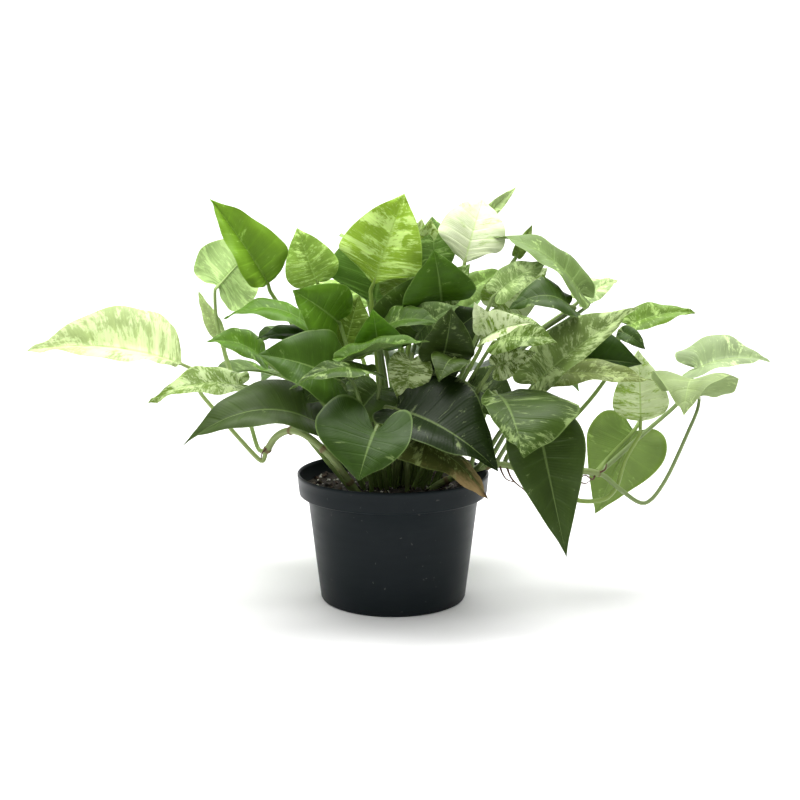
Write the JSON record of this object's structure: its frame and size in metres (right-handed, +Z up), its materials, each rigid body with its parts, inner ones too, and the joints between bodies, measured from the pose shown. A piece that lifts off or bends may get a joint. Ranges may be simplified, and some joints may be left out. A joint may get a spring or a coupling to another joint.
{
  "type": "potted pothos plant",
  "caption": "Trailing foliage plant with heart-shaped leaves on bending stalks, growing in soil in a round tapered nursery pot with a tall collar.",
  "frame": {"origin": "middle of the pot's base, on the surface that it stands on", "axes": "+Z up the plant, -Y towards the front, +X to the viewer's right, along the plant's widest spread"},
  "size_m": [0.59, 0.302, 0.32],
  "materials": {
    "pot_plastic": "dark blue-black moulded polypropylene, satin",
    "soil": "moist dark potting mix with pale perlite grains, matt",
    "stem_green": "smooth pale green stem with brown nodes, satin",
    "leaf_green": "mid green waxy leaf with pale mottling, satin",
    "leaf_dark": "dark green glossy leaf",
    "leaf_lime": "yellow-green leaf with pale streaks, satin",
    "leaf_pale": "cream and pale green variegated leaf, satin",
    "leaf_wilted": "wilting leaf, mottled green turning tan and brown, dry"
  },
  "bodies": {
    "root": {"pot": "pot_plastic", "potting_soil": "soil", "leaf_front_heart": "leaf_green", "leaf_front_dark": "leaf_dark", "leaf_wilting": "leaf_wilted", "leaf_front_pale_tip": "leaf_green", "leaf_glossy_right": "leaf_dark", "leaf_hanging_right": "leaf_dark", "leaf_left_drooping": "leaf_dark", "leaf_left_mottled": "leaf_green", "leaf_left_far": "leaf_pale", "leaf_left_sheen": "leaf_dark", "leaf_left_long_tip": "leaf_green", "leaf_left_low_tip": "leaf_green", "leaf_left_upper": "leaf_green", "leaf_left_lime": "leaf_lime", "leaf_left_folded": "leaf_green", "leaf_left_thin": "leaf_pale", "leaf_top_streaked": "leaf_lime", "leaf_top_blue": "leaf_green", "leaf_top_yellow": "leaf_pale", "leaf_centre_green": "leaf_green", "leaf_centre_edge": "leaf_green", "leaf_centre_wavy": "leaf_dark", "leaf_centre_sheen": "leaf_dark", "leaf_centre_mottled": "leaf_green", "leaf_centre_bright": "leaf_green", "leaf_centre_dark": "leaf_dark", "leaf_centre_drooping": "leaf_dark", "leaf_top_grey": "leaf_green", "leaf_top_white": "leaf_pale", "leaf_right_light": "leaf_lime", "leaf_right_boat": "leaf_pale", "leaf_right_cream": "leaf_pale", "leaf_right_arching": "leaf_green", "leaf_right_arched_dark": "leaf_dark", "leaf_right_mottled": "leaf_green", "leaf_right_pale": "leaf_pale", "leaf_right_dark": "leaf_dark", "leaf_right_cupped": "leaf_pale", "leaf_right_large": "leaf_green", "leaf_right_shadow": "leaf_dark", "leaf_right_bright": "leaf_green", "leaf_right_narrow": "leaf_pale", "leaf_vine_front": "leaf_lime", "leaf_vine_far": "leaf_lime", "leaf_vine_heart": "leaf_pale", "leaf_vine_lime": "leaf_lime", "leaf_back_low_left": "leaf_green", "leaf_back_low_middle": "leaf_green", "leaf_back_low_right": "leaf_dark", "leaf_back_high_left": "leaf_lime", "leaf_back_high_right": "leaf_green", "stem_trailing_left": "stem_green", "stem_trailing_right": "stem_green", "stem_middle": "stem_green", "stem_left": "stem_green", "stem_right": "stem_green", "stem_back": "stem_green"}
  },
  "joints": []
}
